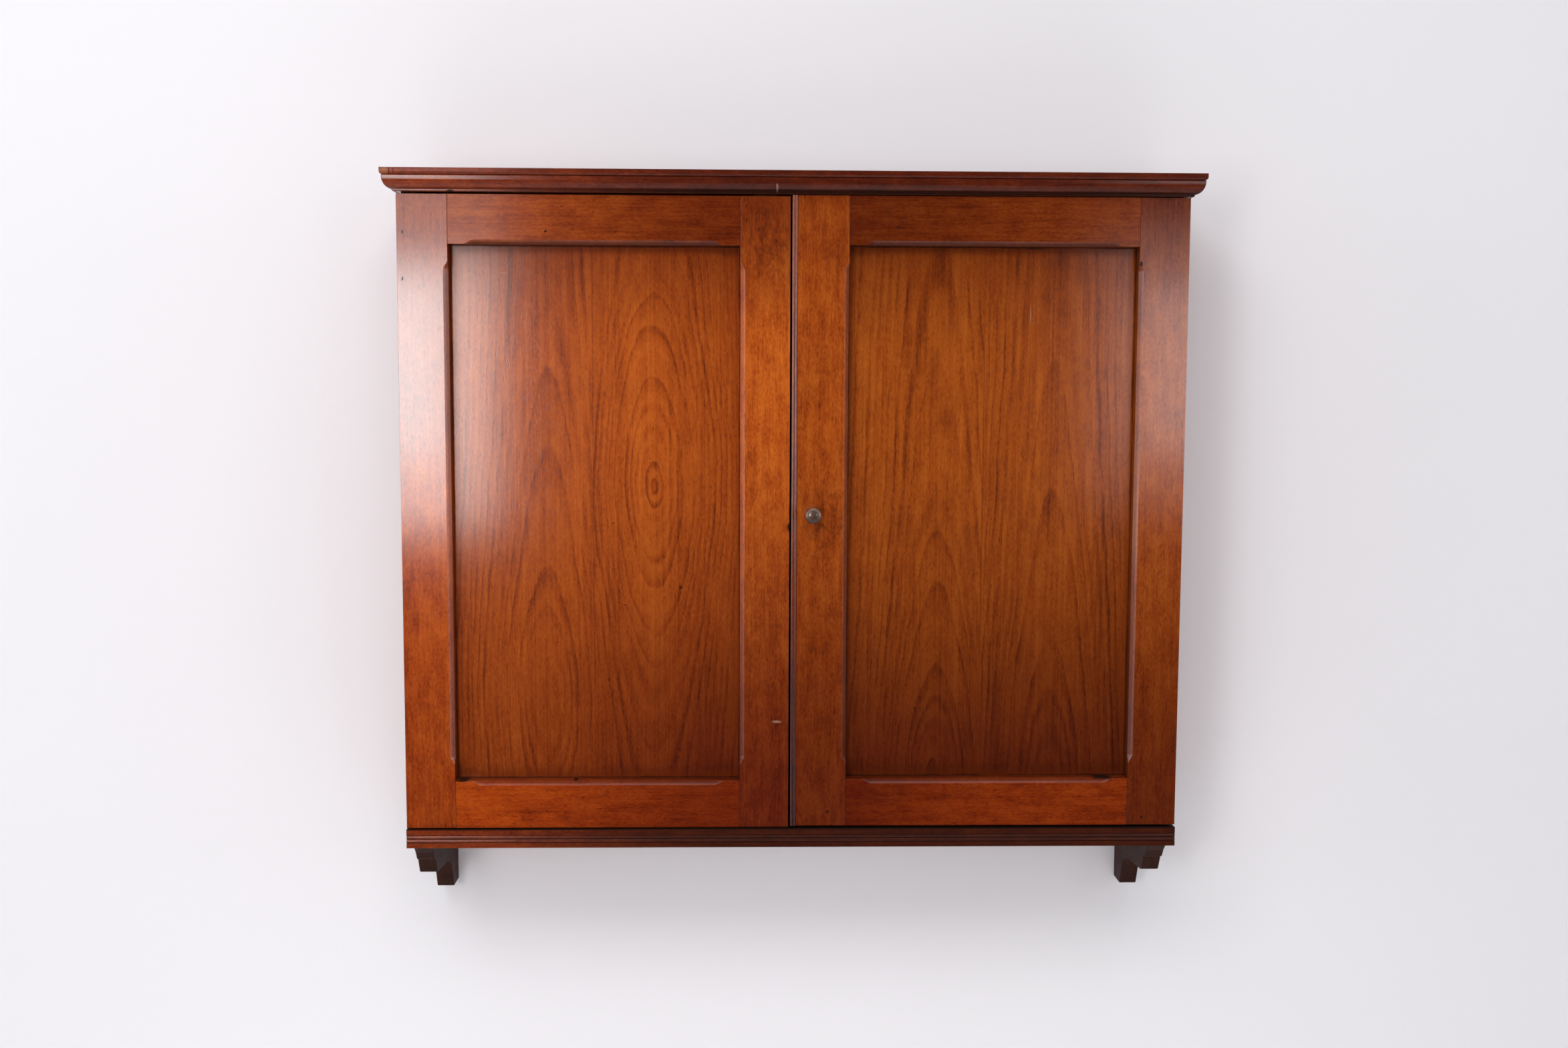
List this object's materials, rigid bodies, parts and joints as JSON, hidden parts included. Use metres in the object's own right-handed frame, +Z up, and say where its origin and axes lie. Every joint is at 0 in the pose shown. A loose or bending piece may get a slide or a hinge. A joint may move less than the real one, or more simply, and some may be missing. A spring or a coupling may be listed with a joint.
{
  "type": "wall cabinet",
  "caption": "Wall-hung wooden cupboard: moulded cornice, a pair of framed and panelled doors with a turn-knob latch, shelves inside, reeded base board and stepped wall brackets.",
  "frame": {"origin": "centre of the back, on the wall plane, half way between the underside of the base board and the top of the top board", "axes": "+Y into the wall, doors face -Y, +X to the right seen from the front, +Z up"},
  "size_m": [0.893, 0.2035, 0.8414],
  "materials": {
    "polished_wood": "orange-brown polished hardwood with a glossy worn polish",
    "panel_wood": "polished flat-sawn hardwood panel with cathedral figure",
    "moulding_wood": "darkened red-brown polished hardwood",
    "dark_wood": "dark brown polished hardwood",
    "inside_wood": "plain oiled softwood",
    "dark_metal": "browned and hand-polished",
    "brass": "dulled brass",
    "steel": "dull steel"
  },
  "bodies": {
    "carcass": {"side_left": "polished_wood", "side_right": "polished_wood", "base_board": "moulding_wood", "bracket_left": "dark_wood", "bracket_right": "dark_wood", "carcass_top": "polished_wood", "top_board": "moulding_wood", "cornice_front": "moulding_wood", "cornice_left": "moulding_wood", "cornice_right": "moulding_wood", "back_board_1": "inside_wood", "back_board_2": "inside_wood", "back_board_3": "inside_wood", "back_board_4": "inside_wood", "back_board_5": "inside_wood", "hanging_rail": "inside_wood", "shelf_lower": "inside_wood", "shelf_upper": "inside_wood", "cleat_lower_left": "inside_wood", "cleat_lower_right": "inside_wood", "cleat_upper_left": "inside_wood", "cleat_upper_right": "inside_wood", "bolt_keeper": "brass", "left_lower_hinge_carcass_leaf": "brass", "left_upper_hinge_carcass_leaf": "brass", "right_lower_hinge_carcass_leaf": "brass", "right_upper_hinge_carcass_leaf": "brass", "left_lower_hinge_pin": "steel", "left_upper_hinge_pin": "steel", "right_lower_hinge_pin": "steel", "right_upper_hinge_pin": "steel"},
    "left_door": {"left_hinge_stile": "polished_wood", "left_meeting_stile": "polished_wood", "left_top_rail": "polished_wood", "left_bottom_rail": "polished_wood", "left_panel": "panel_wood", "left_lower_hinge_door_leaf": "brass", "left_upper_hinge_door_leaf": "brass", "latch_strike": "brass", "bolt_plate": "brass"},
    "bolt": {"bolt": "brass"},
    "right_door": {"right_hinge_stile": "polished_wood", "right_meeting_stile": "polished_wood", "right_top_rail": "polished_wood", "right_bottom_rail": "polished_wood", "right_panel": "panel_wood", "meeting_bead": "polished_wood", "right_lower_hinge_door_leaf": "brass", "right_upper_hinge_door_leaf": "brass", "knob_rose": "dark_metal", "latch_back_plate": "brass"},
    "latch_knob": {"knob": "dark_metal", "latch_tongue": "brass", "knob_nut": "brass"}
  },
  "joints": [
    {"name": "left_door_hinge", "type": "hinge", "parent": "carcass", "child": "left_door", "pos_m": [-0.4349, -0.15585, 0], "axis": [0, 0, -1], "range_deg": [0, 180]},
    {"name": "right_door_hinge", "type": "hinge", "parent": "carcass", "child": "right_door", "pos_m": [0.4349, -0.15585, 0], "axis": [0, 0, 1], "range_deg": [0, 180]},
    {"name": "knob_turn", "type": "hinge", "parent": "right_door", "child": "latch_knob", "pos_m": [0.0201, -0.181, 0.0013], "axis": [0, 1, 0], "range_deg": [0, 90]},
    {"name": "bolt_slide", "type": "slide", "parent": "left_door", "child": "bolt", "axis": [0, 0, 1], "range_m": [0, 0.012]}
  ]
}
